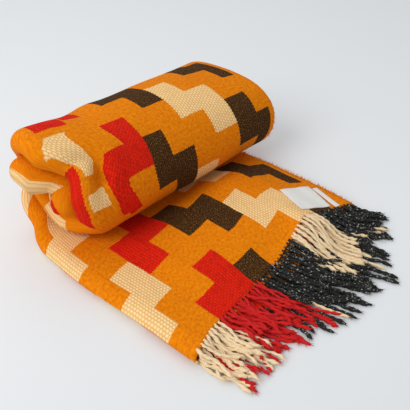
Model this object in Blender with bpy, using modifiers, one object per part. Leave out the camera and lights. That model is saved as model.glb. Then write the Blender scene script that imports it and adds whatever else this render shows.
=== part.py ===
"""Travel rug: a wool rug folded in four lengthwise and rolled up, its fringed loose end lying flat.

Metres, +Z up. X runs across the folded rug from its left fold to the selvages, Y from the fringe
to the roll. A place on the rug is given by three numbers:
  across  metres from the left fold, 0 to QUARTER
  layer   0 (bottom) to 3 (top) through the folded stack
  along   0 at the fringe end, 1 where the roll begins, and one more for each turn of the roll
"""
import math

import bmesh
import bpy
from mathutils import Matrix, Vector
from mathutils.bvhtree import BVHTree

# Cloth
QUARTER = 0.334          # width of the rug folded in four
CLOTH = 0.0028           # thickness of the felted wool
PITCH = 0.0038           # from one layer to the next
# How much the layers part at the left fold, as a share of the pitch: turn of the roll, share
PUFFS = (
    (0.00, 0.60),
    (0.25, 0.80),
    (0.45, 1.35),
    (0.85, 1.35),
    (1.20, 0.70),
    (1.70, 0.40),
    (2.30, 0.00),
)
PUFF_REACH = 0.070       # how far from the left fold they stay parted
LAYERS = 4

# Roll: an oval, so each turn is a core oval widened by that turn's radius
TURNS = 2.75
GAP_LEFT = 0.0006        # air between the turns at the left fold
GAP_RIGHT = 0.0010       # and at the selvages
CORE = 0.004             # the hollow that stays in the middle of the roll
ROLL_Y = (0.2480, 0.2660)        # middle of the roll, at the left fold and at the selvages
HALF_WIDE = (0.0850, 0.1030)     # the half width of the roll, front to back
HALF_HIGH = (0.0830, 0.0665)     # the half height of the roll
STEPS_PER_TURN = 16
# How far each turn slips sideways: share of a turn, at the left fold, in the middle, at the selvages
SLIP = (
    (0.00, 0.024, 0.000, 0.016),
    (0.25, 0.030, 0.000, 0.014),
    (0.44, 0.004, 0.000, 0.014),
    (0.53, 0.000, 0.000, 0.015),
    (0.60, 0.024, -0.004, 0.018),
    (0.70, 0.014, -0.006, 0.021),
    (0.77, 0.018, -0.004, 0.020),
    (0.84, 0.036, 0.000, 0.018),
    (1.00, 0.024, 0.000, 0.016),
)
FIRST_SLIP = (
    (0.00, 0.000, 0.000, 0.000),
    (0.25, 0.030, 0.000, 0.008),
    (0.44, 0.004, 0.000, 0.014),
)
INNER_OUT = 0.012        # how far the inner turns stand out at the left fold

# Loose end
LOOSE_STEPS = 9
# Top layer's end and the low mound under the loose end: across, end along Y, lift at the end, lift behind it
MOUND = (
    (0.000, 0.000, 0.000, 0.000),
    (0.054, 0.013, 0.000, 0.001),
    (0.090, 0.017, 0.000, 0.009),
    (0.125, 0.020, 0.001, 0.013),
    (0.164, 0.023, 0.004, 0.018),
    (0.200, 0.029, 0.013, 0.021),
    (0.235, 0.036, 0.024, 0.022),
    (0.262, 0.036, 0.013, 0.020),
    (0.291, 0.031, 0.004, 0.012),
    (0.313, 0.025, 0.001, 0.006),
    (0.334, 0.018, 0.000, 0.001),
)
MOUND_RISES = 0.055      # from a layer's end to the full lift behind it
MOUND_ENDS = (0.150, 0.220)   # along Y, where the mound starts to sink and where it has gone
MOUND_FRONT = 0.060      # the end lift dies out this far towards the tips of the fringe
# How each layer follows the mound, and how far it reaches past the top layer in the middle
LAYER_LIFT = (0.25, 0.50, 0.80, 1.00)
LAYER_REACH = (0.026, 0.022, 0.006, 0.000)

# Fringe
STRANDS = 40
STRAND_HIGH = 0.0030
STRAND_SHARE = 0.62      # of the spacing that a strand fills
STRIP_DEEP = 0.003
FRINGE_LONG = 0.084
FRINGE_PITCH = 0.0045    # spacing of the layers of strands where they lie on the floor
SHORTER = 0.04           # share that each higher layer's strands fall short
LEAN_LEFT = 0.003        # how far the tips drift sideways at the left fold
LEAN_RIGHT = 0.026       # and at the selvage side
CLEAR = 0.0003
FRINGES = (("fringe_bottom", 2), ("fringe_lower", 3), ("fringe_upper", 3), ("fringe_top", 3))
FRINGE_FROM = 0.016
FRINGE_TO = (0.330, 0.330, 0.330, 0.326)

# Labels: width, length and thickness; and where each lies: across, Y, turn in radians
LABEL = (0.050, 0.047, 0.0008)
LABEL_AT = (0.279, 0.064, -0.27)
LABEL_CLEAR = 0.0006
LABEL_CELL = 0.007
TAG = (0.008, 0.044, 0.0010)
TAG_AT = (0.309, 0.050, -0.17)

COLOURS = {
    "rug_cloth": (0.86, 0.32, 0.02),
    "fringe": (0.62, 0.42, 0.24),
    "label": (0.86, 0.85, 0.80),
}


def smooth(value):
    """0 to 1 with soft ends."""
    value = min(1.0, max(0.0, value))
    return value * value * (3.0 - 2.0 * value)


def between(table, at, column):
    """Read a table of rising first values at a place between its rows."""
    if at <= table[0][0]:
        return table[0][column]
    for low, high in zip(table, table[1:]):
        if at <= high[0]:
            share = smooth((at - low[0]) / (high[0] - low[0])) * 0.5
            share += (at - low[0]) / (high[0] - low[0]) * 0.5
            return low[column] + (high[column] - low[column]) * share
    return table[-1][column]


def between_layers(values, layer):
    """Read one value per layer at a layer number between two of them."""
    low = min(LAYERS - 2, max(0, int(layer)))
    share = min(1.0, max(0.0, layer - low))
    return values[low] + (values[low + 1] - values[low]) * share


def pitch_at(across, turn):
    """Spacing of the layers: wide at the left fold, less so deep in the roll."""
    left = math.exp(-(max(0.0, across) / PUFF_REACH) ** 2)
    return PITCH * (1.0 + between(PUFFS, turn, 1) * left)


def stack_high(across, turn):
    """Height of the four layers."""
    return CLOTH + (LAYERS - 1) * pitch_at(across, turn)


def outer_radius(across, turn):
    """Radius of the bottom layer's outer face: each turn lies on the one inside it."""
    gap = GAP_LEFT + (GAP_RIGHT - GAP_LEFT) * min(1.0, across / QUARTER)
    if turn > TURNS - 1.0:
        innermost = stack_high(across, TURNS - 1.0) + gap
        return CORE + stack_high(across, TURNS) + (TURNS - turn) * innermost
    return outer_radius(across, turn + 1.0) + stack_high(across, turn) + gap


def slip_at(across, turn):
    """Sideways slip of a turn, eased across the rug between its two edges and the middle."""
    table = FIRST_SLIP if turn < FIRST_SLIP[-1][0] else SLIP
    phase = turn if turn < FIRST_SLIP[-1][0] else turn % 1.0
    left, middle, right = (between(table, phase, column) for column in (1, 2, 3))
    left -= INNER_OUT * smooth((turn - 1.0) / 0.3)
    share = min(1.0, max(0.0, across / QUARTER))
    if share < 0.5:
        return left + (middle - left) * smooth(share * 2.0)
    return middle + (right - middle) * smooth(share * 2.0 - 1.0)


def from_left(pair, across):
    """Value between a pair given at the left fold and at the selvages."""
    return pair[0] + (pair[1] - pair[0]) * across / QUARTER


def roll_y(across):
    return from_left(ROLL_Y, across)


def end_y(across, layer):
    """Where a layer ends, towards the fringe."""
    middle = math.sin(math.pi * min(1.0, max(0.0, across / QUARTER))) ** 0.7
    return between(MOUND, across, 1) - between_layers(LAYER_REACH, layer) * middle


def mound(across, y):
    """Height of the low mound under the loose end."""
    end = between(MOUND, across, 1)
    at_end = between(MOUND, across, 2)
    behind = between(MOUND, across, 3)
    if y < end:
        return at_end * (1.0 - smooth((end - y) / MOUND_FRONT))
    lift = at_end + (behind - at_end) * smooth((y - end) / MOUND_RISES)
    return lift * (1.0 - smooth((y - MOUND_ENDS[0]) / (MOUND_ENDS[1] - MOUND_ENDS[0])))


def flat_point(across, layer, y):
    """A place on a layer of the loose end, or on the level where its fringe lies."""
    lift = mound(across, y) * between_layers(LAYER_LIFT, layer)
    beyond = smooth((end_y(across, layer) - y) / MOUND_FRONT)
    pitch = pitch_at(across, 0.0) * (1.0 - beyond) + FRINGE_PITCH * beyond
    return Vector((across, y, CLOTH / 2.0 + layer * pitch + lift))


def rug_point(across, layer, along):
    """A place on the middle of the cloth's thickness."""
    if along <= 1.0:
        start = end_y(across, layer)
        return flat_point(across, layer, start + (roll_y(across) - start) * along)
    turn = along - 1.0
    angle = turn * 2.0 * math.pi
    radius = outer_radius(across, turn) - CLOTH / 2.0 - layer * pitch_at(across, turn)
    outermost = outer_radius(across, 0.0)
    wide = from_left(HALF_WIDE, across) - outermost
    high = from_left(HALF_HIGH, across) - outermost
    back, up = math.sin(angle), -math.cos(angle)
    core = math.hypot(wide * back, high * up)
    slip = slip_at(across, turn)
    return Vector((
        across + slip,
        roll_y(across) + wide * wide * back / core + radius * back,
        from_left(HALF_HIGH, across) + high * high * up / core + radius * up,
    ))


ACROSS_STEPS = (0.016, 0.070, 0.145, 0.220, 0.275)
SELVAGE = (0.331, 0.327)             # where the second and the top layer end
FOLD_A = 0.331                       # where the fold of the two lowest layers begins


def fold_arc(across, depth, low, high, steps):
    """Places round a fold, from its low layer to its high one; depth is negative to the left."""
    places = []
    for step in range(1, steps):
        angle = math.pi * step / steps
        middle = (low + high) / 2.0
        places.append((across + depth * math.sin(angle), middle - (high - low) / 2.0 * math.cos(angle)))
    return places


def section():
    """The folded rug seen from its end, from one selvage to the other: across and layer."""
    rising = list(ACROSS_STEPS)
    falling = rising[::-1]
    places = [(SELVAGE[0], 2.0)] + [(across, 2.0) for across in falling]
    places += fold_arc(rising[0], -0.007, 2.0, 1.0, 4)
    places += [(across, 1.0) for across in rising] + [(FOLD_A, 1.0)]
    places += fold_arc(FOLD_A, 0.0026, 1.0, 0.0, 4)
    places += [(FOLD_A, 0.0)] + [(across, 0.0) for across in falling]
    places += fold_arc(rising[0], -0.016, 0.0, 3.0, 6)
    places += [(across, 3.0) for across in rising] + [(SELVAGE[1], 3.0)]
    return places


def along_steps():
    """Places along the rug: the loose end, then every turn at the same angles."""
    loose = [step / LOOSE_STEPS for step in range(LOOSE_STEPS)]
    count = round(TURNS * STEPS_PER_TURN)
    return loose + [1.0 + step / STEPS_PER_TURN for step in range(count + 1)]


def material(name, colour, roughness=0.9):
    made = bpy.data.materials.new(name)
    made.use_nodes = True
    shader = made.node_tree.nodes["Principled BSDF"]
    shader.inputs["Base Color"].default_value = (*colour, 1.0)
    shader.inputs["Roughness"].default_value = roughness
    shader.inputs["Metallic"].default_value = 0.0
    return made


def add_object(name, mesh_maker, collection, made):
    """Turn a bmesh into a named object."""
    mesh = bpy.data.meshes.new(name)
    mesh_maker.to_mesh(mesh)
    mesh_maker.free()
    mesh.materials.append(made)
    item = bpy.data.objects.new(name, mesh)
    collection.objects.link(item)
    return item


def make_cloth(collection):
    """The flat cut of the rug as a grid, folded in four and rolled by moving each point."""
    places = section()
    steps = along_steps()
    cloth = bmesh.new()
    bmesh.ops.create_grid(cloth, x_segments=len(places) - 1, y_segments=len(steps) - 1, size=1.0)
    for vertex in cloth.verts:
        column = round((vertex.co.x + 1.0) / 2.0 * (len(places) - 1))
        row = round((vertex.co.y + 1.0) / 2.0 * (len(steps) - 1))
        vertex.co = rug_point(*places[column], steps[row])
    item = add_object("rug_cloth", cloth, collection, material("rug_cloth", COLOURS["rug_cloth"]))
    wall = item.modifiers.new("thickness", "SOLIDIFY")
    wall.thickness = CLOTH
    wall.offset = 0.0
    wall.use_even_offset = True
    wall.use_quality_normals = True
    return item


def beyond_end(across, layer, out):
    """A place this far out from a layer's end, straight between the cloth's own corners."""
    knots = ACROSS_STEPS + (FOLD_A,)
    low, high = next(pair for pair in zip(knots, knots[1:]) if across <= pair[1])
    share = (across - low) / (high - low)
    places = [flat_point(knot, layer, end_y(knot, layer) - out) for knot in (low, high)]
    return places[0].lerp(places[1], share)


def strand_place(across, layer, share):
    """The middle of a strand, lying on its layer's level out to the floor."""
    reach = FRINGE_LONG * (1.0 - SHORTER * layer)
    place = beyond_end(across, layer, CLEAR + STRIP_DEEP + (reach - STRIP_DEEP) * share)
    lean = LEAN_LEFT + (LEAN_RIGHT - LEAN_LEFT) * across / QUARTER
    return place + Vector((lean * share, 0.0, (STRAND_HIGH - CLOTH) / 2.0))


def make_fringe(collection, name, layer, steps):
    """A narrow strip at the end of one layer, with a strand drawn out of every second front face."""
    left, right = FRINGE_FROM, FRINGE_TO[layer]
    spacing = (right - left) / STRANDS
    columns = 2 * STRANDS + 1
    fringe = bmesh.new()
    bmesh.ops.create_grid(fringe, x_segments=columns, y_segments=1, size=1.0)
    column_of = fringe.verts.layers.int.new("column")
    front_of = fringe.verts.layers.int.new("front")
    for vertex in fringe.verts:
        column = round((vertex.co.x + 1.0) / 2.0 * columns)
        vertex[column_of] = column
        vertex[front_of] = int(vertex.co.y < 0.0)
        side = -1.0 if column % 2 else 1.0
        across = left + spacing * ((column - 1) // 2 + 0.5 + side * STRAND_SHARE / 2.0)
        across = min(right, max(left, across))
        place = beyond_end(across, layer, CLEAR + STRIP_DEEP * vertex[front_of])
        vertex.co = place - Vector((0.0, 0.0, CLOTH / 2.0))
    body = bmesh.ops.extrude_face_region(fringe, geom=list(fringe.faces))
    top = [item for item in body["geom"] if isinstance(item, bmesh.types.BMVert)]
    bmesh.ops.translate(fringe, verts=top, vec=(0.0, 0.0, STRAND_HIGH))

    def strand_of(face):
        found = {vertex[column_of] for vertex in face.verts}
        if len(found) == 2 and min(found) % 2 == 1 and all(vertex[front_of] for vertex in face.verts):
            return min(found) // 2
        return None

    fronts = [face for face in fringe.faces if strand_of(face) is not None and abs(face.normal.z) < 0.5]
    for step in range(1, steps + 1):
        fronts = bmesh.ops.extrude_discrete_faces(fringe, faces=fronts)["faces"]
        for face in fronts:
            across = left + spacing * (strand_of(face) + 0.5)
            middle = strand_place(across, layer, step / steps)
            low = face.calc_center_median().z
            half = STRAND_SHARE * spacing / 2.0
            for vertex in face.verts:
                side = -half if vertex[column_of] % 2 else half
                level = STRAND_HIGH / 2.0 if vertex.co.z > low else -STRAND_HIGH / 2.0
                vertex.co = middle + Vector((side, 0.0, level))
    bmesh.ops.recalc_face_normals(fringe, faces=fringe.faces)
    return add_object(name, fringe, collection, material(name, COLOURS["fringe"]))


def make_label(collection, name, size, place, under):
    """A thin woven patch that follows the cloth under it."""
    wide, deep, thick = size
    across, y, turn = place
    patch = bmesh.new()
    bmesh.ops.create_grid(patch, x_segments=max(1, round(wide / LABEL_CELL)),
                          y_segments=max(1, round(deep / LABEL_CELL)), size=0.5)
    for vertex in patch.verts:
        vertex.co = Matrix.Rotation(turn, 3, "Z") @ Vector((vertex.co.x * wide, vertex.co.y * deep, 0.0))
        vertex.co += Vector((across, y, 0.0))
        hit = under.ray_cast(vertex.co + Vector((0.0, 0.0, 1.0)), Vector((0.0, 0.0, -1.0)))[0]
        vertex.co.z = hit.z + LABEL_CLEAR
    body = bmesh.ops.extrude_face_region(patch, geom=list(patch.faces))
    top = [item for item in body["geom"] if isinstance(item, bmesh.types.BMVert)]
    bmesh.ops.translate(patch, verts=top, vec=(0.0, 0.0, thick))
    bmesh.ops.recalc_face_normals(patch, faces=patch.faces)
    return add_object(name, patch, collection, material(name, COLOURS["label"]))


def set_origin(items):
    """Move the whole rug so that the middle of its base is the origin."""
    graph = bpy.context.evaluated_depsgraph_get()
    graph.update()
    corners = [vertex.co.copy() for item in items for vertex in item.evaluated_get(graph).data.vertices]
    middle = Vector([(min(c[i] for c in corners) + max(c[i] for c in corners)) / 2.0 for i in (0, 1)] + [0.0])
    middle.z = min(corner.z for corner in corners)
    print("origin moved by", [round(value, 6) for value in middle])
    for item in items:
        item.data.transform(Matrix.Translation(-middle))


def main():
    for item in list(bpy.data.objects):
        bpy.data.objects.remove(item)
    collection = bpy.data.collections.new("travel_rug")
    bpy.context.scene.collection.children.link(collection)
    cloth = make_cloth(collection)
    items = [cloth]
    for layer, (name, steps) in enumerate(FRINGES):
        items.append(make_fringe(collection, name, layer, steps))
    graph = bpy.context.evaluated_depsgraph_get()
    under = BVHTree.FromObject(cloth, graph)
    items.append(make_label(collection, "woven_label", LABEL, LABEL_AT, under))
    items.append(make_label(collection, "side_tag", TAG, TAG_AT, under))
    set_origin(items)


main()
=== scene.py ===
"""Looks of the travel rug: woven and napped cloth, folded and rolled, with twisted fringe and blank labels."""

import math
import random

import bmesh
import bpy
from mathutils import Matrix, Vector, noise
from mathutils.bvhtree import BVHTree


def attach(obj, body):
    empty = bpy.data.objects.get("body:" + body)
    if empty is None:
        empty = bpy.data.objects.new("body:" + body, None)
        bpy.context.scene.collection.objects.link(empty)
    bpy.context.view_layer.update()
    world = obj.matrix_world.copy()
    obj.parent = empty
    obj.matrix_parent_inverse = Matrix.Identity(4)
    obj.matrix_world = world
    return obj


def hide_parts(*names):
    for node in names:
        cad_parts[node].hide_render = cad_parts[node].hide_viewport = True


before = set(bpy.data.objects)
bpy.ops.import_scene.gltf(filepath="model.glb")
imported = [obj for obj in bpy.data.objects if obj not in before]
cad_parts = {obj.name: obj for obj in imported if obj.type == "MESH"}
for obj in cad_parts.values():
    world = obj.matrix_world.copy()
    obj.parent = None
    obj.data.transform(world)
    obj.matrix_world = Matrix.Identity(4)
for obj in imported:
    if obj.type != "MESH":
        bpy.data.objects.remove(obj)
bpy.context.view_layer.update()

# The cloth's form, as the part's source gives it. A place on the rug is across from the left fold,
# layer from 0 at the bottom to 3 on top, and along: 0 at the fringe, 1 where the roll begins,
# one more for each turn.
ORIGIN = Vector((0.171625, 0.138295, 0.0))
QUARTER = 0.334          # width of the rug folded in four
CLOTH = 0.0028           # thickness of the felted wool
PITCH = 0.0038           # from one layer to the next
# How much the layers part at the left fold, as a share of the pitch: turn of the roll, share
PUFFS = (
    (0.00, 0.60),
    (0.25, 0.80),
    (0.45, 1.35),
    (0.85, 1.35),
    (1.20, 0.70),
    (1.70, 0.40),
    (2.30, 0.00),
)
PUFF_REACH = 0.070       # how far from the left fold they stay parted
LAYERS = 4

# Roll: an oval, so each turn is a core oval widened by that turn's radius
TURNS = 2.75
GAP_LEFT = 0.0006        # air between the turns at the left fold
GAP_RIGHT = 0.0010       # and at the selvages
CORE = 0.004             # the hollow that stays in the middle of the roll
ROLL_Y = (0.2480, 0.2660)        # middle of the roll, at the left fold and at the selvages
HALF_WIDE = (0.0850, 0.1030)     # the half width of the roll, front to back
HALF_HIGH = (0.0830, 0.0665)     # the half height of the roll
# How far each turn slips sideways: share of a turn, at the left fold, in the middle, at the selvages
SLIP = (
    (0.00, 0.024, 0.000, 0.016),
    (0.25, 0.030, 0.000, 0.014),
    (0.44, 0.004, 0.000, 0.014),
    (0.53, 0.000, 0.000, 0.015),
    (0.60, 0.024, -0.004, 0.018),
    (0.70, 0.014, -0.006, 0.021),
    (0.77, 0.018, -0.004, 0.020),
    (0.84, 0.036, 0.000, 0.018),
    (1.00, 0.024, 0.000, 0.016),
)
FIRST_SLIP = (
    (0.00, 0.000, 0.000, 0.000),
    (0.25, 0.030, 0.000, 0.008),
    (0.44, 0.004, 0.000, 0.014),
)
INNER_OUT = 0.012        # how far the inner turns stand out at the left fold

# Top layer's end and the low mound under the loose end: across, end along Y, lift at the end, lift behind it
MOUND = (
    (0.000, 0.000, 0.000, 0.000),
    (0.054, 0.013, 0.000, 0.001),
    (0.090, 0.017, 0.000, 0.009),
    (0.125, 0.020, 0.001, 0.013),
    (0.164, 0.023, 0.004, 0.018),
    (0.200, 0.029, 0.013, 0.021),
    (0.235, 0.036, 0.024, 0.022),
    (0.262, 0.036, 0.013, 0.020),
    (0.291, 0.031, 0.004, 0.012),
    (0.313, 0.025, 0.001, 0.006),
    (0.334, 0.018, 0.000, 0.001),
)
MOUND_RISES = 0.055      # from a layer's end to the full lift behind it
MOUND_ENDS = (0.150, 0.220)   # along Y, where the mound starts to sink and where it has gone
MOUND_FRONT = 0.060      # the end lift dies out this far towards the tips of the fringe
# How each layer follows the mound, and how far it reaches past the top layer in the middle
LAYER_LIFT = (0.25, 0.50, 0.80, 1.00)
LAYER_REACH = (0.026, 0.022, 0.006, 0.000)
# Across, the ends of the third layer and of the top layer
SELVAGE = (0.331, 0.327)
# Folds: where across they start, and how far they reach past that
LEFT_FOLDS = 0.016
OUTER_FOLD_DEEP = 0.016
INNER_FOLD_DEEP = 0.007
RIGHT_FOLD = 0.331
RIGHT_FOLD_DEEP = 0.0026

# Steps of the fine cloth: across where it shows and inside the stack, round the three folds, and along
FINE = 0.0048
COARSE = 0.013
LEFT_ARC = 14
INNER_ARC = 8
RIGHT_ARC = 6
LOOSE_STEP = 0.018        # of the loose end
SHOWN_STEP = 0.0095       # of a turn
HIDDEN_FROM = 2.35        # along; past it only the ends of the turns show
HIDDEN_STEP = 0.045       # of a turn

# Pattern: blocks two rows long in columns as wide as a row, each column a row further on
ROW = 0.035
BLOCK_ROWS = 2.0
REPEAT_ROWS = 4.0
TURNING_COLUMN = 3.0      # the column at which the steps turn back
FIRST_COLUMN = 0.020      # width of the first column, which the fold cuts
BORDER = 0.323            # across; past it the cloth is plain
BRICKS = (10.0, 8.0)      # woven units in a column's width and in a row
STEP_EDGE = (0.0012, 0.0011)     # how far a block's edge steps with the units, across and along
WAVER_EDGE = (0.0016, 0.0024)    # and how far it wavers
ROLL_ROW_AT = 1.525       # along, where a row of the third column starts on the roll

# Where the pattern is pulled out of line at the left: across, along, reach across, reach of a turn,
# push to the left, push towards the next row
DRIFTS = (
    (0.050, 1.700, 0.040, 0.080, 0.020, 0.0),
    (0.050, 1.790, 0.045, 0.070, 0.0, 0.026),
)

# Dents and swells of the roll: across, along, reach across, reach of a turn, push out of the roll, sideways
CREASES = (
    (0.036, 1.650, 0.011, 0.045, -0.0150, 0.0),
    (0.010, 1.590, 0.030, 0.018, -0.0050, 0.0),
    (0.015, 1.490, 0.050, 0.095, 0.0085, -0.002),
    (0.010, 2.430, 0.040, 0.100, 0.0040, 0.0),
    (0.000, 3.450, 0.060, 0.500, 0.0, 0.022),
    (0.020, 1.830, 0.030, 0.050, 0.0040, -0.004),
    (0.062, 1.615, 0.014, 0.060, 0.0025, 0.0),
    (0.090, 1.480, 0.030, 0.050, -0.0020, 0.0),
    (0.120, 1.420, 0.020, 0.050, 0.0030, 0.0),
    (0.210, 1.500, 0.120, 0.140, 0.0055, 0.0),
    (0.005, 2.450, 0.030, 0.050, 0.0050, -0.006),
    (0.005, 2.620, 0.030, 0.040, -0.0050, 0.003),
    (0.005, 2.780, 0.030, 0.050, 0.0050, -0.006),
    (0.010, 1.080, 0.025, 0.030, -0.0030, 0.004),
    (0.008, 1.160, 0.030, 0.040, 0.0030, -0.004),
)

CREASE_ENDS = 6.0         # squared distance, in reaches, at which a crease ends
EDGE_SPREAD = -0.009      # how far the left fold bows out where it goes under the roll
EDGE_SPREAD_AT = 0.75     # along
EDGE_SPREAD_REACH = (0.09, 0.42)     # across, along
LIP_SWELL = 0.011         # how far the second turn swells into the hollow at the left
LIP_SWELL_REACH = 0.045
LIP_SWELL_IN = (2.2, 0.15)       # along, where the swell starts and how long it takes
LIP_SWELL_OUT = (2.9, 0.2)       # and the same for its end

# Soft unevenness: slow waves of the whole cloth, more on the roll, more again at its lip, and quick ripples
WAVES = 0.0009
ROLL_WAVES = 0.0010
LIP_WAVES = 0.0014
LIP_WAVES_REACH = 0.06
RIPPLES = 0.0005
STEADY_BELOW = 0.012      # height under which the cloth strays less from the floor

# Short loose fibres at the edges: across, layer, start and end along the rug, how many
EDGE_FIBRES = (
    (0.3275, 3.0, 0.02, 0.98, 700),
    (0.3315, 2.0, 0.02, 0.98, 200),
    (0.3330, 0.5, 1.00, 1.98, 1100),
    (0.3315, 2.0, 1.00, 1.60, 300),
)

# Fringe
STRANDS = 54              # in a layer
FRINGE_LONG = (           # across, length of the lowest layer's strands
    (0.000, 0.056),
    (0.050, 0.066),
    (0.100, 0.068),
    (0.150, 0.086),
    (0.200, 0.102),
    (0.236, 0.106),
    (0.270, 0.084),
    (0.300, 0.062),
    (0.334, 0.052),
)
FRINGE_LEAN = (           # across, how far the tips lean to the right
    (0.000, 0.003),
    (0.110, 0.008),
    (0.150, 0.020),
    (0.185, 0.026),
    (0.205, 0.004),
    (0.255, 0.006),
    (0.285, 0.018),
    (0.334, 0.012),
)
# Yarns of the upper layers up to each place across, 0 cream, 1 red, 2 charcoal; the rest is charcoal
YARN_EDGES = ((0.055, 0), (0.125, 1), (0.195, 2), (0.262, 0))
LOW_REDS = (0.018, 0.032)    # across, where the two lowest layers show red
LOW_DARKS_FROM = 0.140       # across, from where they show charcoal
LOW_STRAYS = 0.10            # share of cream among it
FRINGE_FROM = 0.004
FRINGE_TO = (0.329, 0.329, 0.329, 0.325)
STRAND_RADIUS = 0.0019
STRAND_STEPS = 30
STRAND_SIDES = 10
TWIST_PITCH = 0.009
STRAND_PITCH = 0.0034     # from one layer of strands to the next
BUNCH_WIDE = 0.007        # strands this close lean together
BUNCH_LEAN = 0.45         # share of the way that they lean
TIP_FIBRES = 7
FIBRE_STEPS = 3
YARN_ABOVE = 0.0002       # lowest place of a yarn, and of a fibre's line, over the floor
FIBRE_ABOVE = 0.0004

# Labels: width, length, thickness; across, Y, turn
LABEL = (0.050, 0.047, 0.0008)
LABEL_AT = (0.279, 0.064, -0.27)
TAG = (0.008, 0.044, 0.0010)
TAG_AT = (0.309, 0.050, -0.17)
LABEL_STEP = 0.002
LABEL_ABOVE = 0.0004

# Camera, in the frame that the sizes above are in
CAMERA_TARGET = Vector((0.1759, 0.1355, 0.0339))
CAMERA_AZIMUTH = math.radians(-47.9)
CAMERA_ELEVATION = math.radians(37.5)
CAMERA_FAR = 0.744
CAMERA_LENS = 51.2
CAMERA_SHIFT = (-0.0185, 0.005)

# Studio: each light's name, place, size and power
LIGHTS = (
    ("window", (-1.4, 0.1, 1.3), 1.1, 18.0),
    ("sky", (0.3, 1.3, 1.9), 2.4, 10.0),
)
ROOM = (0.93, 0.96, 1.0)
ROOM_LIGHT = 0.64
# The floor's colour far from the camera and near it: painted shade makes the floor darker towards the camera
FLOOR_FAR = (0.80, 0.81, 0.81)
FLOOR_NEAR_SHADED = (0.68, 0.70, 0.71)
FLOOR_BELOW = 0.0004
# Direction over the floor in which the painted shade deepens
TOWARDS_CAMERA = (-0.742, -0.670)    # over the floor

# Colours of the cloth
CREAM = (1.000, 0.660, 0.290)
RED = (0.780, 0.014, 0.003)
DARK = (0.032, 0.014, 0.005)
BLACK = (0.0, 0.0, 0.0)
CREAM_JOINT = (0.46, 0.20, 0.05)
RED_JOINT = (0.10, 0.004, 0.002)
DARK_JOINT = (0.34, 0.13, 0.02)
TAN_FLECK = (0.42, 0.20, 0.05)
PALE_SPECK = (0.98, 0.50, 0.25)
NAP_LIGHT = (0.930, 0.300, 0.003)
NAP_DEEP = (0.640, 0.148, 0.001)
NAP_PATCH = (0.68, 0.155, 0.001)
NAP_SPECK = (0.25, 0.06, 0.003)

# Colours of the yarns, each followed by its deeper colour: painted shade between the fibres, which the plain
# yarns also take in darker patches
FRINGE_CREAM = (1.000, 0.860, 0.620)
FRINGE_CREAM_PATCH_AND_SHADE = (0.74, 0.52, 0.28)
FRINGE_RED = (0.780, 0.032, 0.034)
FRINGE_RED_PATCH_AND_SHADE = (0.46, 0.012, 0.010)
FIBRE_ORANGE = (1.00, 0.40, 0.03)
FIBRE_ORANGE_PATCH_AND_SHADE = (0.80, 0.26, 0.01)
CHARCOAL = (0.052, 0.054, 0.050)
CHARCOAL_FIBRE_SHADE = (0.010, 0.010, 0.009)
CHARCOAL_FLECK = (0.50, 0.47, 0.42)
TAPE = (0.82, 0.80, 0.75)
TAPE_WORN = (0.70, 0.69, 0.66)
WOOL_SHINE = 0.08

# The blocks on the lip of the roll and on the turn inside it: colour, then the left edge, the right edge
# and the start and end along the rug; each edge is given at the start and at the end.
# Across is negative round the fold.
LIP_CHART = (
    (None, (-0.050, -0.050), (0.062, 0.062), (1.250, 1.530)),
    (None, (-0.050, -0.050), (0.062, 0.044), (1.530, 1.620)),
    (None, (-0.050, -0.050), (0.044, 0.050), (1.620, 1.800)),
    (None, (-0.050, -0.050), (0.060, 0.060), (1.800, 1.970)),
    (RED, (0.018, 0.018), (0.060, 0.060), (1.250, 1.495)),
    (CREAM, (0.020, 0.004), (0.046, 0.041), (1.515, 1.555)),
    (CREAM, (0.008, 0.014), (0.041, 0.026), (1.555, 1.635)),
    (RED, (-0.050, -0.050), (0.009, 0.010), (1.595, 1.800)),
    (CREAM, (0.013, 0.013), (0.039, 0.039), (1.683, 1.737)),
    (None, (-0.050, -0.050), (0.050, 0.050), (2.100, 2.980)),
    (CREAM, (-0.012, -0.014), (0.004, 0.010), (2.330, 2.620)),
    (RED, (-0.050, -0.050), (-0.012, -0.014), (2.300, 2.600)),
    (RED, (-0.050, -0.050), (0.000, 0.006), (2.670, 2.760)),
)


# Form of the cloth

def smooth(value):
    value = min(1.0, max(0.0, value))
    return value * value * (3.0 - 2.0 * value)


def between(table, at, column):
    """Read a table of rising first values at a place between its rows."""
    if at <= table[0][0]:
        return table[0][column]
    for low, high in zip(table, table[1:]):
        if at <= high[0]:
            share = (at - low[0]) / (high[0] - low[0])
            share = (smooth(share) + share) / 2.0
            return low[column] + (high[column] - low[column]) * share
    return table[-1][column]


def between_layers(values, layer):
    low = min(LAYERS - 2, max(0, int(layer)))
    share = min(1.0, max(0.0, layer - low))
    return values[low] + (values[low + 1] - values[low]) * share


def from_left(pair, across):
    return pair[0] + (pair[1] - pair[0]) * across / QUARTER


def pitch_at(across, turn):
    """Spacing of the layers: wide at the left fold, less so deep in the roll."""
    left = math.exp(-(max(0.0, across) / PUFF_REACH) ** 2)
    return PITCH * (1.0 + between(PUFFS, turn, 1) * left)


def stack_high(across, turn):
    return CLOTH + (LAYERS - 1) * pitch_at(across, turn)


def outer_radius(across, turn):
    """Radius of the bottom layer's outer face: each turn lies on the one inside it."""
    gap = GAP_LEFT + (GAP_RIGHT - GAP_LEFT) * min(1.0, across / QUARTER)
    if turn > TURNS - 1.0:
        innermost = stack_high(across, TURNS - 1.0) + gap
        return CORE + stack_high(across, TURNS) + (TURNS - turn) * innermost
    return outer_radius(across, turn + 1.0) + stack_high(across, turn) + gap


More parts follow.
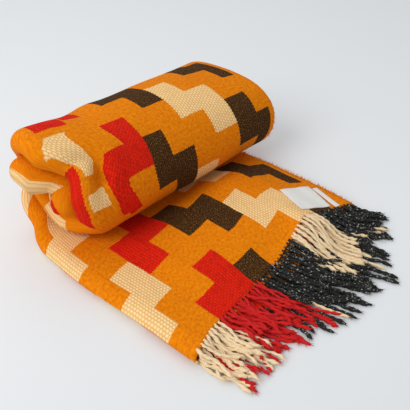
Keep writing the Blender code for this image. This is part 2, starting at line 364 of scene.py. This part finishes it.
def slip_at(across, turn):
    """Sideways slip of a turn, eased across the rug between its two edges and the middle."""
    table = FIRST_SLIP if turn < FIRST_SLIP[-1][0] else SLIP
    phase = turn if turn < FIRST_SLIP[-1][0] else turn % 1.0
    left, middle, right = (between(table, phase, column) for column in (1, 2, 3))
    left -= INNER_OUT * smooth((turn - 1.0) / 0.3)
    share = min(1.0, max(0.0, across / QUARTER))
    if share < 0.5:
        return left + (middle - left) * smooth(share * 2.0)
    return middle + (right - middle) * smooth(share * 2.0 - 1.0)


def end_y(across, layer):
    middle = math.sin(math.pi * min(1.0, max(0.0, across / QUARTER))) ** 0.7
    return between(MOUND, across, 1) - between_layers(LAYER_REACH, layer) * middle


def mound(across, y):
    end = between(MOUND, across, 1)
    at_end = between(MOUND, across, 2)
    if y < end:
        return at_end * (1.0 - smooth((end - y) / MOUND_FRONT))
    lift = at_end + (between(MOUND, across, 3) - at_end) * smooth((y - end) / MOUND_RISES)
    return lift * (1.0 - smooth((y - MOUND_ENDS[0]) / (MOUND_ENDS[1] - MOUND_ENDS[0])))


def flat_point(across, layer, y):
    lift = mound(across, y) * between_layers(LAYER_LIFT, layer)
    return Vector((across, y, CLOTH / 2.0 + layer * pitch_at(across, 0.0) + lift))


def rug_point(across, layer, along):
    """A place on the middle of the cloth's thickness."""
    if along <= 1.0:
        start = end_y(across, layer)
        return flat_point(across, layer, start + (from_left(ROLL_Y, across) - start) * along)
    turn = along - 1.0
    angle = turn * 2.0 * math.pi
    radius = outer_radius(across, turn) - CLOTH / 2.0 - layer * pitch_at(across, turn)
    outermost = outer_radius(across, 0.0)
    wide = from_left(HALF_WIDE, across) - outermost
    high = from_left(HALF_HIGH, across) - outermost
    back, up = math.sin(angle), -math.cos(angle)
    core = math.hypot(wide * back, high * up)
    return Vector((
        across + slip_at(across, turn),
        from_left(ROLL_Y, across) + wide * wide * back / core + radius * back,
        from_left(HALF_HIGH, across) + high * high * up / core + radius * up,
    ))


# Shader expressions

class Value:
    """A number socket of a material, on which + - * / build Math nodes."""

    def __init__(self, looks, socket):
        self.looks = looks
        self.socket = socket

    def math(self, operation, *others):
        return self.looks.node("ShaderNodeMath", {"operation": operation}, [self, *others])

    def __add__(self, other):
        return self.math("ADD", other)

    __radd__ = __add__

    def __mul__(self, other):
        return self.math("MULTIPLY", other)

    __rmul__ = __mul__

    def __sub__(self, other):
        return self.math("SUBTRACT", other)

    def __rsub__(self, other):
        return self.looks.node("ShaderNodeMath", {"operation": "SUBTRACT"}, [other, self])

    def __truediv__(self, other):
        return self.math("DIVIDE", other)

    def __gt__(self, other):
        return self.math("GREATER_THAN", other)

    def __lt__(self, other):
        return self.math("LESS_THAN", other)

    def __mod__(self, other):
        return self.math("FLOORED_MODULO", other)

    def abs(self):
        return self.math("ABSOLUTE")

    def floor(self):
        return self.math("FLOOR")

    def sine(self):
        return self.math("SINE")

    def clamped(self):
        return self.looks.node("ShaderNodeClamp", {}, {"Value": self})


class Looks:
    """A material being made: one method adds any node, and a few name the usual ones."""

    def __init__(self, name, roughness):
        self.material = bpy.data.materials.new(name)
        self.material.use_nodes = True
        self.tree = self.material.node_tree
        self.shader = self.tree.nodes["Principled BSDF"]
        self.shader.inputs["Roughness"].default_value = roughness
        self.shader.inputs["Specular IOR Level"].default_value = WOOL_SHINE

    def node(self, kind, settings, inputs, output=0):
        made = self.tree.nodes.new(kind)
        for key, value in settings.items():
            setattr(made, key, value)
        pairs = inputs.items() if isinstance(inputs, dict) else enumerate(inputs)
        for key, value in pairs:
            if isinstance(value, Value):
                self.tree.links.new(value.socket, made.inputs[key])
            else:
                made.inputs[key].default_value = value
        return Value(self, made.outputs[output])

    def mix(self, share, low, high):
        """The colour between low and high at share."""
        low, high = ((*one, 1.0) if isinstance(one, tuple) else one for one in (low, high))
        return self.node("ShaderNodeMix", {"data_type": "RGBA"}, {0: share, 6: low, 7: high}, output=2)

    def noise(self, place, scale, detail=2.0, roughness=0.5):
        return self.node("ShaderNodeTexNoise", {}, {
            "Vector": place, "Scale": scale, "Detail": detail, "Roughness": roughness})

    def object_place(self):
        return self.node("ShaderNodeTexCoord", {}, [], output=3)

    def axes(self, place):
        """The X and the Y of a place as two numbers."""
        return [self.node("ShaderNodeSeparateXYZ", {}, [place], output) for output in (0, 1)]

    def paint(self, colour):
        self.tree.links.new(colour.socket, self.shader.inputs["Base Color"])
        return self.material

    def finish(self, colour, height, strength, distance):
        """Link the colour and the relief, and give the material."""
        bump = self.node("ShaderNodeBump", {}, {
            "Height": height, "Strength": strength, "Distance": distance})
        self.tree.links.new(bump.socket, self.shader.inputs["Normal"])
        return self.paint(colour)


def place_on(looks, x, y):
    return looks.node("ShaderNodeCombineXYZ", {}, [x, y, 0.0])


def stepped_blocks(wide, long, folded, roll_phase):
    """Where the blocks lie by the stepped rule, which turns back from one quarter of the rug to the next."""
    column = ((folded + (ROW - FIRST_COLUMN)) / ROW).floor()
    steps = (column - TURNING_COLUMN).abs()
    upper = ((wide - QUARTER) % (2.0 * QUARTER)) < QUARTER
    row = (long - (1.0 - upper) * roll_phase) / ROW + steps * (upper * 2.0 - 1.0)
    return ((row % REPEAT_ROWS) < BLOCK_ROWS) * (folded < BORDER)


def woven_cloth(roll_phase):
    """Orange nap with stepped blocks: cream, red and dark, coarser where the colours are woven in."""
    looks = Looks("napped_wool", 0.95)
    wide, long = looks.axes(looks.node("ShaderNodeUVMap", {"uv_map": "rug"}, []))
    place = place_on(looks, wide, long)

    # Woven units: bricks of yarn, each column shifted by half a unit
    unit_wide, unit_long = ROW / BRICKS[0], ROW / BRICKS[1]
    column_place = wide / unit_wide
    brick_row = long / unit_long + (column_place.floor() % 2.0) * 0.5
    from_middle = ((column_place % 1.0) - 0.5).abs() * 2.0
    from_end = ((brick_row % 1.0) - 0.5).abs() * 2.0
    brick = looks.node("ShaderNodeTexWhiteNoise", {"noise_dimensions": "2D"}, {
        "Vector": place_on(looks, column_place.floor(), brick_row.floor())})
    crown = 1.0 - from_middle * from_middle * from_middle
    crown = crown * (1.0 - from_end * from_end * from_end * from_end)

    # Edges of the blocks step with the units and waver a little
    waver = looks.noise(place, 90.0, 2.0) - 0.5
    edge_long = (from_middle - 0.5) * STEP_EDGE[1] + waver * WAVER_EDGE[1]
    edge_wide = (from_end - 0.5) * STEP_EDGE[0] + waver * WAVER_EDGE[0]
    folded = (wide - QUARTER + edge_wide).math("PINGPONG", QUARTER)
    blocks = stepped_blocks(wide, long + edge_long, folded, roll_phase)
    reds, darks, creams, last_darks = (
        folded > FIRST_COLUMN + ROW * count for count in (1.0, 3.0, 5.0, 7.0))
    block_colour = looks.mix(reds, CREAM, RED)
    block_colour = looks.mix(darks, block_colour, DARK)
    block_colour = looks.mix(creams, block_colour, CREAM)
    block_colour = looks.mix(last_darks, block_colour, DARK)
    dark = darks - creams + last_darks
    cream = 1.0 - reds + creams - last_darks

    # The lip of the roll has its own chart
    lip_wide, lip_long = looks.axes(looks.node("ShaderNodeUVMap", {"uv_map": "lip"}, []))
    lip_wide, lip_long = lip_wide + edge_wide, lip_long + edge_long * 2.0
    for tone, lows, highs, (start, end) in LIP_CHART:
        share = (lip_long - start) / (end - start)
        inside = (share > 0.0) * (share < 1.0)
        inside = inside * (lip_wide > share * (lows[1] - lows[0]) + lows[0])
        inside = inside * (lip_wide < share * (highs[1] - highs[0]) + highs[0])
        blocks = blocks * (1.0 - inside)
        dark = dark * (1.0 - inside)
        if tone:
            blocks = blocks + inside
            block_colour = looks.mix(inside, block_colour, tone)
            cream = cream * (1.0 - inside) + inside * float(tone == CREAM)

    # Colours inside the blocks: joints between the units, tan flecks on the dark, pale specks elsewhere
    joints = (1.0 - crown).clamped()
    block_colour = looks.mix((brick - 0.5) * (0.40 - cream * 0.24), block_colour, BLACK)
    block_colour = looks.mix(joints * cream * 0.62, block_colour, CREAM_JOINT)
    block_colour = looks.mix(joints * (1.0 - cream - dark) * 0.40, block_colour, RED_JOINT)
    block_colour = looks.mix(joints * dark * 0.18, block_colour, DARK_JOINT)
    fleck = looks.noise(place, 700.0, 1.0)
    flecks = ((fleck - 0.60) * 9.0).clamped()
    block_colour = looks.mix(flecks * dark * 0.75, block_colour, TAN_FLECK)
    speck = looks.noise(place, 1100.0, 1.0)
    specks = ((speck - 0.58) * 5.0).clamped()
    block_colour = looks.mix(specks * (1.0 - dark) * 0.14, block_colour, PALE_SPECK)

    # Nap: fine mottling and faint dark specks where the warp shows through
    mottle = looks.noise(place, 260.0, 4.0, 0.6)
    broad = looks.noise(place, 28.0, 3.0)
    nap = looks.mix(((mottle - 0.34) * 2.2).clamped(), NAP_DEEP, NAP_LIGHT)
    nap = looks.mix(((broad - 0.42) * 1.2).clamped() * 0.45, nap, NAP_PATCH)
    nap = looks.mix(((speck - 0.60) * 6.0).clamped() * 0.30, nap, NAP_SPECK)
    colour = looks.mix(blocks, nap, block_colour)

    fuzz = looks.noise(place, 900.0, 3.0, 0.7)
    height = blocks * (crown * 0.8 + brick * 0.15) + (1.0 - blocks) * (mottle * 0.9) + fuzz * 0.35
    return looks.finish(colour, height, 0.55, 0.0011)


def plain_wool(name, colour, deep):
    """Yarn of one colour, with painted shade between its fibres and darker patches along it."""
    looks = Looks(name, 0.9)
    place = looks.object_place()
    fibres = looks.noise(place, 900.0, 3.0, 0.6)
    patches = looks.noise(place, 120.0, 2.0)
    # Painted shade: fine noise darkens the yarn towards the deep colour between its fibres; broader noise
    # gives darker patches of that same colour
    made = looks.mix((fibres - 0.35) * 2.2, deep, colour)
    made = looks.mix((patches - 0.5) * 0.8, made, deep)
    return looks.finish(made, fibres, 0.5, 0.0006)


def flecked_wool(name):
    """Charcoal yarn with painted shade between its fibres and pale flecks along it."""
    looks = Looks(name, 0.9)
    place = looks.object_place()
    fibres = looks.noise(place, 800.0, 3.0, 0.6)
    flecks = looks.noise(place, 420.0, 1.0)
    # Painted shade: fine noise darkens the yarn towards the deep charcoal between its fibres
    made = looks.mix((fibres - 0.35) * 2.0, CHARCOAL_FIBRE_SHADE, CHARCOAL)
    made = looks.mix(((flecks - 0.62) * 10.0).clamped() * 0.8, made, CHARCOAL_FLECK)
    return looks.finish(made, fibres, 0.5, 0.0006)


def woven_tape():
    """Blank off-white label tape: fine ribs both ways, a little worn."""
    looks = Looks("blank_tape", 0.7)
    place = looks.object_place()
    x, y = looks.axes(place)
    ribs = (x * 9000.0).sine() * 0.5 + (y * 7000.0).sine() * 0.5
    stain = looks.noise(place, 60.0, 3.0)
    made = looks.mix((stain - 0.4) * 0.6, TAPE, TAPE_WORN)
    return looks.finish(made, ribs, 0.4, 0.0003)


# Pieces

def finished(name, made, materials):
    """Turn a bmesh into a piece that rides with the rug, moved to the rug's origin."""
    mesh = bpy.data.meshes.new(name)
    made.to_mesh(mesh)
    made.free()
    mesh.transform(Matrix.Translation(-ORIGIN))
    for item in materials:
        mesh.materials.append(item)
    piece = bpy.data.objects.new(name, mesh)
    bpy.context.scene.collection.objects.link(piece)
    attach(piece, "root")
    return piece


def spread(start, end, step):
    """Even places from start to end, about a step apart."""
    count = max(1, round(abs(end - start) / step))
    return [start + (end - start) * index / count for index in range(count + 1)]


def arc_of(across, depth, low, high, steps):
    """Places round a fold, from its first layer to its second; depth is negative to the left."""
    places = []
    for step in range(1, steps):
        angle = math.pi * step / steps
        layer = (low + high) / 2.0 - (high - low) / 2.0 * math.cos(angle)
        places.append((across + depth * math.sin(angle), layer))
    return places


def cloth_section():
    """Places across the folded rug, from one selvage to the other."""
    left, right = LEFT_FOLDS, RIGHT_FOLD
    fine, coarse = spread(left, right, FINE), spread(left, right, COARSE)
    places = [(across, 2.0) for across in spread(SELVAGE[0], left, COARSE)]
    places += arc_of(left, -INNER_FOLD_DEEP, 2.0, 1.0, INNER_ARC)
    places += [(across, 1.0) for across in coarse]
    places += arc_of(right, RIGHT_FOLD_DEEP, 1.0, 0.0, RIGHT_ARC)
    places += [(across, 0.0) for across in fine[::-1]]
    places += arc_of(left, -OUTER_FOLD_DEEP, 0.0, 3.0, LEFT_ARC)
    places += [(across, 3.0) for across in spread(left, SELVAGE[1], FINE)]
    return places


def cloth_steps():
    """Places along the rug: fine where it shows, coarse inside the roll."""
    loose = spread(0.0, 1.0, LOOSE_STEP)
    shown = spread(1.0, HIDDEN_FROM, SHOWN_STEP)
    return loose[:-1] + shown[:-1] + spread(HIDDEN_FROM, 1.0 + TURNS, HIDDEN_STEP)


def creased(place, across, layer, along):
    """The push of the bow, the swell and the creases, away from the middle of the roll and sideways."""
    wide, long = EDGE_SPREAD_REACH
    push = Vector((0.0, 0.0, 0.0))
    push.x = EDGE_SPREAD * math.exp(-(across / wide) ** 2 - ((along - EDGE_SPREAD_AT) / long) ** 2)
    if along < 1.02:
        return push
    out = Vector((0.0, place.y - from_left(ROLL_Y, across), place.z - from_left(HALF_HIGH, across)))
    out.normalize()
    (starts, rises), (ends, sinks) = LIP_SWELL_IN, LIP_SWELL_OUT
    swollen = LIP_SWELL * math.exp(-(across / LIP_SWELL_REACH) ** 2) * smooth((along - starts) / rises)
    push -= out * swollen * (1.0 - smooth((along - ends) / sinks)) * layer / (LAYERS - 1)
    for at_across, at_along, wide, long, outwards, sideways in CREASES:
        far = ((across - at_across) / wide) ** 2 + ((along - at_along) / long) ** 2
        if far < CREASE_ENDS:
            share = math.exp(-far)
            push += out * outwards * share + Vector((sideways * share, 0.0, 0.0))
    return push


def soft_unevenness(place, across, layer, along):
    """How far a place of the cloth strays from its smooth form, most at the lip of the roll."""
    slow = noise.noise_vector(Vector((across * 14.0, place.y * 12.0, place.z * 12.0)))
    quick = noise.noise_vector(place * 45.0 + Vector((7.0, 3.0, 1.0)))
    left = math.exp(-(max(0.0, across) / LIP_WAVES_REACH) ** 2)
    rolled = smooth(along - 0.9)
    strength = WAVES + ROLL_WAVES * rolled + LIP_WAVES * left * rolled
    shift = slow * strength + quick * RIPPLES + creased(place, across, layer, along)
    shift.z *= smooth(place.z / STEADY_BELOW)
    return shift


def lip_place(place):
    """Distance from the middle of the outer left fold, negative on the top layer, for the lip's chart."""
    across, layer = place
    if layer == 0.0:
        return across
    if layer == LAYERS - 1.0:
        return -across
    if across < LEFT_FOLDS - INNER_FOLD_DEEP or layer < 1.0 or layer > 2.0:
        return OUTER_FOLD_DEEP * (1.0 - 2.0 * math.acos(1.0 - layer / 1.5) / math.pi)
    return 1.0


def drift(place, along):
    """How far the pattern is pulled out of line on the outside of the roll."""
    across, layer = place
    if layer > 0.5 or along < 1.3 or along > 2.0:
        return 0.0, 0.0
    left = on = 0.0
    for at_across, at_along, wide, long, pull_left, pull_on in DRIFTS:
        share = math.exp(-((across - at_across) / wide) ** 2 - ((along - at_along) / long) ** 2)
        left += pull_left * share
        on += pull_on * share
    return left, on


def nearest(values, wanted):
    """The index of the value that is nearest."""
    return min(range(len(values)), key=lambda index: abs(values[index] - wanted))


def flat_across(places):
    """Where each place of the section lies across the open rug, with the fold marks on its quarters."""
    last = len(places) - 1
    wide = [0.0]
    for (a_low, l_low), (a_high, l_high) in zip(places, places[1:]):
        wide.append(wide[-1] + math.hypot(a_high - a_low, (l_high - l_low) * PITCH))
    knots = [(0, 0.0)]
    knots += [(index, QUARTER * turn) for turn, index in enumerate(fold_middles(places), 1)]
    knots += [(last, 4.0 * QUARTER)]
    flat = []
    for index in range(last + 1):
        low, high = next(pair for pair in zip(knots, knots[1:]) if index <= pair[1][0])
        share = (wide[index] - wide[low[0]]) / (wide[high[0]] - wide[low[0]])
        flat.append(low[1] + (high[1] - low[1]) * share)
    return flat


def flat_along(points, places, steps, middle):
    """How far along the open rug each point lies. On the roll the lower layers are shifted into line."""
    long = [[0.0] * len(places)]
    for low, high in zip(points, points[1:]):
        lengths = [math.hypot(b.y - a.y, b.z - a.z) for a, b in zip(low, high)]
        long.append([reached + length for reached, length in zip(long[-1], lengths)])
    top_row = nearest(steps, 1.5)
    offsets = [long[top_row][middle] - reached for reached in long[top_row]]
    for row, along in enumerate(steps):
        ease = smooth((along - 0.8) / 0.6)
        for column, (_, layer) in enumerate(places):
            long[row][column] += ease * (1.0 - layer / (LAYERS - 1)) * offsets[column]
    return long


def rug_cloth():
    """The whole rug as one thin sheet with its fold marks, and the flat rug's place of each corner as UV."""
    places, steps = cloth_section(), cloth_steps()
    columns, rows = len(places), len(steps)
    points = [[rug_point(across, layer, along) for across, layer in places] for along in steps]
    # The middle of the bottom layer keeps its place along
    middle = min(range(columns), key=lambda column: (
        abs(places[column][1]) + abs(places[column][0] - QUARTER / 2.0)))
    across_flat = flat_across(places)
    long = flat_along(points, places, steps, middle)
    roll_phase = long[nearest(steps, ROLL_ROW_AT)][middle] % (REPEAT_ROWS * ROW)

    made = bmesh.new()
    bmesh.ops.create_grid(made, x_segments=columns - 1, y_segments=rows - 1, size=1.0)
    uv = made.loops.layers.uv.new("rug")
    lip_uv = made.loops.layers.uv.new("lip")
    where = {}
    for vertex in made.verts:
        column = round((vertex.co.x + 1.0) / 2.0 * (columns - 1))
        row = round((vertex.co.y + 1.0) / 2.0 * (rows - 1))
        place = points[row][column]
        vertex.co = place + soft_unevenness(place, *places[column], steps[row])
        pull_left, pull_on = drift(places[column], steps[row])
        where[vertex.index] = (
            (across_flat[column] - pull_left, long[row][column] - pull_on),
            (lip_place(places[column]), steps[row]))
    for face in made.faces:
        face.smooth = True
        for loop in face.loops:
            loop[uv].uv, loop[lip_uv].uv = where[loop.vert.index]
    piece = finished("napped_rug", made, [woven_cloth(roll_phase)])
    wall = piece.modifiers.new("thickness", "SOLIDIFY")
    wall.thickness = CLOTH
    wall.offset = 0.0
    wall.use_even_offset = True
    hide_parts("rug_cloth")
    return piece


def fold_middles(places):
    """The places in the section where the cloth turns back: inner left, right, outer left."""
    found = []
    for low, high in ((2.0, 1.0), (1.0, 0.0), (0.0, 3.0)):
        middle = (low + high) / 2.0
        inside = [index for index, (_, layer) in enumerate(places)
                  if min(low, high) < layer < max(low, high)]
        if (low, high) == (0.0, 3.0):
            inside = [index for index in inside if index > found[-1] and places[index][0] < LEFT_FOLDS]
        found.append(min(inside, key=lambda index: abs(places[index][1] - middle)))
    return found


def fringe_colour(chance, across, layer):
    """Number of the yarn that the warp has here. Lower layers show a few strays."""
    stray = chance.gauss(0.0, 0.003 + 0.004 * (LAYERS - 1 - layer))
    if layer < 2 and LOW_REDS[0] < across < LOW_REDS[1]:
        return 1
    if layer < 2 and across > LOW_DARKS_FROM:
        return 0 if chance.random() < LOW_STRAYS else 2
    for edge, yarn in YARN_EDGES:
        if across + stray < edge:
            return yarn
    return 2


def strand_line(chance, across, layer, bunch):
    """The middle line of one strand, from its root at the cloth's end to its tip."""
    long = between(FRINGE_LONG, across, 1) * chance.uniform(0.74, 1.06) * (1.0 - 0.07 * layer)
    lean = bunch - across + between(FRINGE_LEAN, across, 1) + chance.gauss(0.0, 0.0060)
    sway = chance.uniform(0.0010, 0.0050)
    start, waves = chance.uniform(0.0, 2.0 * math.pi), chance.uniform(0.5, 1.3)
    root_y = end_y(across, layer) + 0.002
    level = STRAND_RADIUS + STRAND_PITCH * layer * chance.uniform(0.5, 1.15)
    root_z = flat_point(across, layer, root_y).z
    falls = chance.uniform(1.3, 2.2)
    line = []
    for step in range(STRAND_STEPS + 1):
        share = step / STRAND_STEPS
        y = root_y - long * share
        fall = smooth(share * falls)
        over = mound(across, y) * between_layers(LAYER_LIFT, layer)
        z = root_z * (1.0 - fall) + (level + over) * fall
        x = across + lean * smooth(share * 0.5 + 0.02) * 2.0
        x += sway * math.sin(start + waves * 2.0 * math.pi * share) * min(1.0, share * 2.5)
        z += 0.0008 * math.sin(start * 2.0 + 9.0 * share) * share
        line.append(Vector((x, y, max(STRAND_RADIUS, z))))
    return line


def tube(whole, line, sides, steps, shape, material):
    """Add a closed tube along a line. shape gives a corner's distance from the line by angle and share."""
    made = bmesh.new()
    found = bmesh.ops.create_grid(made, x_segments=sides, y_segments=steps, size=1.0)["verts"]
    frames = []
    for step in range(steps + 1):
        ahead = line[min(step + 1, steps)] - line[max(step - 1, 0)]
        side = ahead.cross(Vector((0.0, 0.0, 1.0))).normalized()
        frames.append((side, side.cross(ahead).normalized()))
    rings = {}
    for vertex in found:
        angle = (vertex.co.x + 1.0) * math.pi
        step = round((vertex.co.y + 1.0) / 2.0 * steps)
        side, up = frames[step]
        reach = shape(angle, step / steps)
        vertex.co = line[step] + (side * math.cos(angle) + up * math.sin(angle)) * reach
        vertex.co.z = max(YARN_ABOVE, vertex.co.z)
        rings.setdefault(step, []).append(vertex)
    bmesh.ops.remove_doubles(made, verts=found, dist=0.00001)
    for step in (0, steps):
        ring = [vertex for vertex in rings[step] if vertex.is_valid]
        edges = {edge for vertex in ring for edge in vertex.link_edges if edge.is_boundary}
        bmesh.ops.holes_fill(made, edges=list(edges), sides=sides)
    for face in {face for ring in rings.values() for vertex in ring if vertex.is_valid
                 for face in vertex.link_faces}:
        face.material_index = material
        face.smooth = True
    part = bpy.data.meshes.new("part")
    made.to_mesh(part)
    made.free()
    whole.from_mesh(part)
    bpy.data.meshes.remove(part)


def add_strand(made, chance, line, radius, yarn):
    """Two plies laid round each other, with loose fibres at the cut end."""
    turn = chance.uniform(0.0, math.pi)
    long = sum((high - low).length for low, high in zip(line, line[1:]))

    def plies(angle, share):
        twist = turn + math.pi * share * long / TWIST_PITCH
        swell = 1.0 + 0.25 * smooth((share - 0.80) / 0.15) - 0.75 * smooth((share - 0.93) / 0.07)
        return radius * swell * (1.0 + 0.26 * math.cos(2.0 * (angle - twist)))

    tube(made, line, STRAND_SIDES, STRAND_STEPS, plies, yarn)
    ahead = (line[-1] - line[-4]).normalized()
    for _ in range(TIP_FIBRES):
        spread_out = Vector((chance.gauss(0.0, 0.5), chance.gauss(0.0, 0.3), chance.gauss(0.0, 0.3)))
        start = line[-chance.choice((2, 3, 4))]
        path = [start]
        heading = (ahead + spread_out * 0.7).normalized()
        for _ in range(FIBRE_STEPS):
            heading = (heading + Vector((chance.gauss(0.0, 0.16), 0.0, chance.gauss(0.0, 0.10)))).normalized()
            path.append(path[-1] + heading * chance.uniform(0.0016, 0.0030))
            path[-1].z = max(FIBRE_ABOVE, path[-1].z)
        thick = chance.uniform(0.00025, 0.00055)
        tube(made, path, 4, FIBRE_STEPS, lambda angle, share: thick * (1.05 - share), yarn)


def fringe(layer, node, yarns):
    """The twisted warp ends of one folded layer, in loose bunches."""
    chance = random.Random(40 + layer)
    made = bmesh.new()
    left, right = FRINGE_FROM, FRINGE_TO[layer]
    bunch = left
    for strand in range(STRANDS):
        across = left + (right - left) * (strand + 0.5) / STRANDS + chance.uniform(-0.0010, 0.0010)
        if across > bunch + BUNCH_WIDE:
            bunch = across + chance.uniform(0.004, 0.012)
        line = strand_line(chance, across, layer, across + (bunch - across) * BUNCH_LEAN)
        yarn = fringe_colour(chance, across, layer)
        add_strand(made, chance, line, STRAND_RADIUS * chance.uniform(0.80, 1.12), yarn)
    bmesh.ops.recalc_face_normals(made, faces=made.faces)
    piece = finished("twisted_" + node, made, yarns)
    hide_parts(node)
    return piece


def edge_fibres(wool):
    """The soft overcast edge: short orange fibres that stand out along the selvages and the fold."""
    chance = random.Random(12)
    made = bmesh.new()
    for across, layer, start, end, count in EDGE_FIBRES:
        for _ in range(count):
            path = [rug_point(across - 0.0008, layer, chance.uniform(start, end))]
            path[0] += Vector((0.0, chance.uniform(-0.0012, 0.0012), chance.uniform(-0.0012, 0.0012)))
            heading = Vector((1.0, chance.gauss(0.0, 0.7), chance.gauss(0.0, 0.7))).normalized()
            for _ in range(FIBRE_STEPS):
                heading = (heading + Vector([chance.gauss(0.0, 0.45) for _ in range(3)])).normalized()
                path.append(path[-1] + heading * chance.uniform(0.0009, 0.0023))
                path[-1].z = max(FIBRE_ABOVE, path[-1].z)
            thick = chance.uniform(0.00025, 0.00060)
            tube(made, path, 3, FIBRE_STEPS, lambda angle, share: thick * (1.1 - share), 0)
    bmesh.ops.recalc_face_normals(made, faces=made.faces)
    piece = finished("edge_fibres", made, [wool])
    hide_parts("rug_cloth")
    return piece


def label(name, node, size, place, under, tape):
    """A blank woven patch that follows the cloth under it."""
    wide, deep, thick = size
    across, y, turn = place
    patch = bmesh.new()
    bmesh.ops.create_grid(patch, x_segments=max(2, round(wide / LABEL_STEP)),
                          y_segments=round(deep / LABEL_STEP), size=0.5)
    for vertex in patch.verts:
        spot = Matrix.Rotation(turn, 3, "Z") @ Vector((vertex.co.x * wide, vertex.co.y * deep, 0.0))
        spot += Vector((across, y, 0.0))
        hit = under.ray_cast(spot - ORIGIN + Vector((0.0, 0.0, 1.0)), Vector((0.0, 0.0, -1.0)))[0]
        vertex.co = Vector((spot.x, spot.y, hit.z + LABEL_ABOVE))
    for face in patch.faces:
        face.smooth = True
    piece = finished(name, patch, [tape])
    wall = piece.modifiers.new("thickness", "SOLIDIFY")
    wall.thickness = thick
    wall.offset = 1.0
    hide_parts(node)
    return piece


# Studio

def studio():
    """A wide pale floor, soft lights and the camera of the photograph."""
    made = bmesh.new()
    bmesh.ops.create_grid(made, x_segments=1, y_segments=1, size=6.0)
    mesh = bpy.data.meshes.new("floor")
    made.to_mesh(mesh)
    made.free()
    floor = bpy.data.objects.new("floor", mesh)
    floor.location.z = -FLOOR_BELOW
    bpy.context.scene.collection.objects.link(floor)
    plain = Looks("pale_floor_painted_shade", 0.8)
    x, y = plain.axes(plain.object_place())
    # Painted shade: the floor's colour goes from the far colour to the darker near one towards the camera
    shade_towards_camera = x * TOWARDS_CAMERA[0] + y * TOWARDS_CAMERA[1]
    mesh.materials.append(plain.paint(plain.mix((shade_towards_camera * 2.2).clamped(), FLOOR_FAR, FLOOR_NEAR_SHADED)))

    world = bpy.data.worlds.new("soft_room")
    world.use_nodes = True
    world.node_tree.nodes["Background"].inputs[0].default_value = (*ROOM, 1.0)
    world.node_tree.nodes["Background"].inputs[1].default_value = ROOM_LIGHT
    bpy.context.scene.world = world
    for name, spot, size, power in LIGHTS:
        data = bpy.data.lights.new(name, "AREA")
        data.size = size
        data.energy = power
        light = bpy.data.objects.new(name, data)
        light.location = spot
        light.rotation_euler = (-Vector(spot)).to_track_quat("-Z", "Y").to_euler()
        bpy.context.scene.collection.objects.link(light)

    data = bpy.data.cameras.new("camera")
    data.lens = CAMERA_LENS
    data.sensor_width = 36.0
    data.shift_x, data.shift_y = CAMERA_SHIFT
    data.clip_start, data.clip_end = 0.01, 50.0
    camera = bpy.data.objects.new("camera", data)
    back = Vector((math.sin(CAMERA_AZIMUTH) * math.cos(CAMERA_ELEVATION),
                   -math.cos(CAMERA_AZIMUTH) * math.cos(CAMERA_ELEVATION), math.sin(CAMERA_ELEVATION)))
    camera.location = CAMERA_TARGET - ORIGIN + back * CAMERA_FAR
    camera.rotation_euler = (-back).to_track_quat("-Z", "Y").to_euler()
    bpy.context.scene.collection.objects.link(camera)
    bpy.context.scene.camera = camera
    bpy.context.scene.view_settings.view_transform = "Standard"


cloth = rug_cloth()
yarns = [plain_wool("cream_yarn", FRINGE_CREAM, FRINGE_CREAM_PATCH_AND_SHADE),
         plain_wool("red_yarn", FRINGE_RED, FRINGE_RED_PATCH_AND_SHADE),
         flecked_wool("charcoal_yarn")]
edge_fibres(plain_wool("orange_fibres", FIBRE_ORANGE, FIBRE_ORANGE_PATCH_AND_SHADE))
fringes = [fringe(layer, node, yarns) for layer, node in
           enumerate(("fringe_bottom", "fringe_lower", "fringe_upper", "fringe_top"))]
under = BVHTree.FromObject(cloth, bpy.context.evaluated_depsgraph_get())
tape = woven_tape()
labels = [label("blank_label", "woven_label", LABEL, LABEL_AT, under, tape),
          label("blank_tag", "side_tag", TAG, TAG_AT, under, tape)]
studio()
